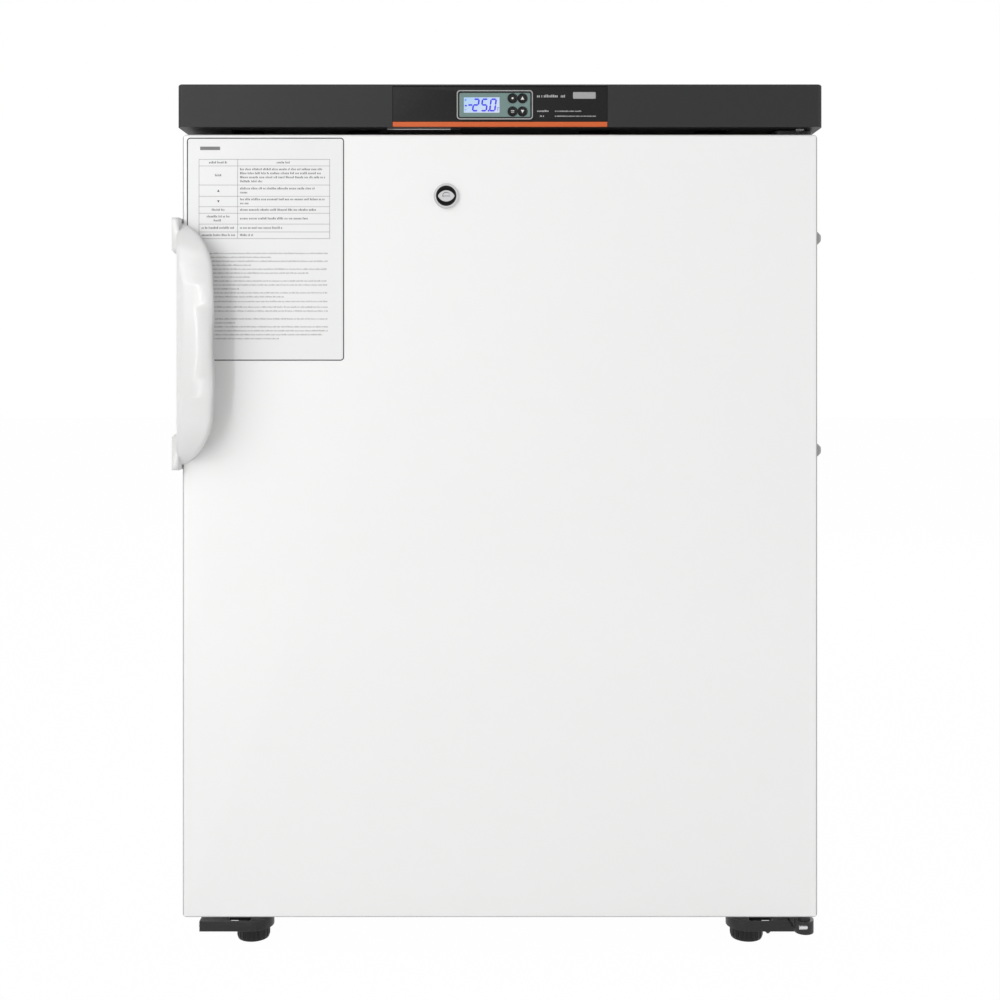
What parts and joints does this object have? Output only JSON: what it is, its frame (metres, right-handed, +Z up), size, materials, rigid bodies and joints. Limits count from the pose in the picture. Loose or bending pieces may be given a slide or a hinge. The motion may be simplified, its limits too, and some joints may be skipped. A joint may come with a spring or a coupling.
{
  "type": "laboratory freezer",
  "caption": "Under-counter laboratory freezer with a hinged foam door, side handle, key lock, control panel in the top cover, drawers on evaporator shelves and rear condenser.",
  "frame": {"origin": "on the floor under the centre of the freezer's bounding box", "axes": "+X right as seen from the front, +Y towards the back, +Z up; the door faces -Y"},
  "size_m": [0.604, 0.5978, 0.82],
  "materials": {
    "white_steel": "satin",
    "galvanised_steel": "satin",
    "insulation_foam": "matte",
    "white_plastic": "satin",
    "clear_white_plastic": "gloss",
    "cover_plastic": "satin",
    "panel_plastic": "satin",
    "orange_plastic": "satin",
    "grey_plastic": "satin",
    "screen_glass": "gloss",
    "black_plastic": "matte",
    "gasket_rubber": "matte",
    "mount_rubber": "matte",
    "black_steel": "satin",
    "zinc_steel": "satin",
    "cap_plastic": "satin",
    "chrome": "polished",
    "enamelled_pipe": "satin",
    "copper": "satin"
  },
  "bodies": {
    "cabinet": {"outer_shell": "white_steel", "base_plate": "galvanised_steel", "back_panel": "galvanised_steel", "compartment_panel": "galvanised_steel", "cabinet_foam": "insulation_foam", "inner_liner": "white_plastic", "temperature_probe": "black_plastic", "top_cover": "cover_plastic", "control_panel": "panel_plastic", "accent_strip": "orange_plastic", "display_bezel": "grey_plastic", "display_plate": "grey_plastic", "lcd_screen": "screen_glass", "controller_module": "black_plastic", "strike_plate": "galvanised_steel", "top_hinge_bracket": "black_steel", "bottom_hinge_bracket": "black_steel", "left_foot_bracket": "black_steel", "fixing_screws": "zinc_steel", "roller_brackets": "galvanised_steel", "wire_condenser": "black_steel", "condenser_clips": "galvanised_steel", "compressor": "black_steel", "compressor_grommets": "mount_rubber", "relay_cover": "black_plastic", "discharge_line": "black_steel", "suction_line": "copper", "filter_drier": "copper", "rear_grille": "galvanised_steel", "mains_gland": "black_plastic", "evaporator_shelf_1": "enamelled_pipe", "evaporator_shelf_2": "enamelled_pipe", "evaporator_shelf_3": "enamelled_pipe"},
    "door": {"door_panel": "white_steel", "door_foam": "insulation_foam", "door_liner": "white_plastic", "door_gasket": "gasket_rubber", "top_door_bush": "black_plastic", "bottom_door_bush": "black_plastic", "handle": "white_plastic", "handle_screws": "zinc_steel", "hole_plugs": "cap_plastic", "lock_housing": "chrome", "lock_box": "white_plastic"},
    "lock": {"lock_plug": "chrome", "lock_cam": "galvanised_steel"},
    "left_foot": {"left_foot": "black_plastic"},
    "right_foot": {"right_foot": "black_plastic"},
    "left_roller": {"left_roller": "black_plastic"},
    "right_roller": {"right_roller": "black_plastic"},
    "drawer_1": {"drawer_1": "clear_white_plastic"},
    "drawer_2": {"drawer_2": "clear_white_plastic"},
    "drawer_3": {"drawer_3": "clear_white_plastic"},
    "drawer_4": {"drawer_4": "clear_white_plastic"},
    "button_set": {"button_set": "black_plastic"},
    "button_lock": {"button_lock": "black_plastic"},
    "button_up": {"button_up": "black_plastic"},
    "button_down": {"button_down": "black_plastic"}
  },
  "joints": [
    {"name": "door_swing", "type": "hinge", "parent": "cabinet", "child": "door", "pos_m": [0.288, -0.2362, 0.4085], "axis": [0, 0, 1], "range_deg": [0, 120]},
    {"name": "lock_turn", "type": "hinge", "parent": "door", "child": "lock", "pos_m": [-0.05, -0.2327, 0.716], "axis": [0, 1, 0], "range_deg": [0, 90]},
    {"name": "drawer_1_slide", "type": "slide", "parent": "cabinet", "child": "drawer_1", "axis": [0, -1, 0], "range_m": [0, 0.0633]},
    {"name": "drawer_2_slide", "type": "slide", "parent": "cabinet", "child": "drawer_2", "axis": [0, -1, 0], "range_m": [0, 0.0927]},
    {"name": "drawer_3_slide", "type": "slide", "parent": "cabinet", "child": "drawer_3", "axis": [0, -1, 0], "range_m": [0, 0.122]},
    {"name": "drawer_4_slide", "type": "slide", "parent": "cabinet", "child": "drawer_4", "axis": [0, -1, 0], "range_m": [0, 0.1513]},
    {"name": "button_set_press", "type": "slide", "parent": "cabinet", "child": "button_set", "axis": [0, 1, 0], "range_m": [0, 0.001], "stiffness_N_per_m": 400, "springref_m": -0.002},
    {"name": "button_lock_press", "type": "slide", "parent": "cabinet", "child": "button_lock", "axis": [0, 1, 0], "range_m": [0, 0.001], "stiffness_N_per_m": 400, "springref_m": -0.002},
    {"name": "button_up_press", "type": "slide", "parent": "cabinet", "child": "button_up", "axis": [0, 1, 0], "range_m": [0, 0.001], "stiffness_N_per_m": 400, "springref_m": -0.002},
    {"name": "button_down_press", "type": "slide", "parent": "cabinet", "child": "button_down", "axis": [0, 1, 0], "range_m": [0, 0.001], "stiffness_N_per_m": 400, "springref_m": -0.002},
    {"name": "left_foot_screw", "type": "slide", "parent": "cabinet", "child": "left_foot", "axis": [0, 0, -1], "range_m": [0, 0.012]},
    {"name": "right_foot_screw", "type": "slide", "parent": "cabinet", "child": "right_foot", "axis": [0, 0, -1], "range_m": [0, 0.012]},
    {"name": "left_roller_spin", "type": "hinge", "parent": "cabinet", "child": "left_roller", "pos_m": [-0.241, 0.2441, 0.0095], "axis": [1, 0, 0], "continuous": true},
    {"name": "right_roller_spin", "type": "hinge", "parent": "cabinet", "child": "right_roller", "pos_m": [0.241, 0.2441, 0.0095], "axis": [1, 0, 0], "continuous": true}
  ],
  "couplings": [
    {"joint": "drawer_1_slide", "follows": "door_swing", "m_per_rad": 0.03},
    {"joint": "drawer_2_slide", "follows": "door_swing", "m_per_rad": 0.044},
    {"joint": "drawer_3_slide", "follows": "door_swing", "m_per_rad": 0.058},
    {"joint": "drawer_4_slide", "follows": "door_swing", "m_per_rad": 0.072}
  ]
}
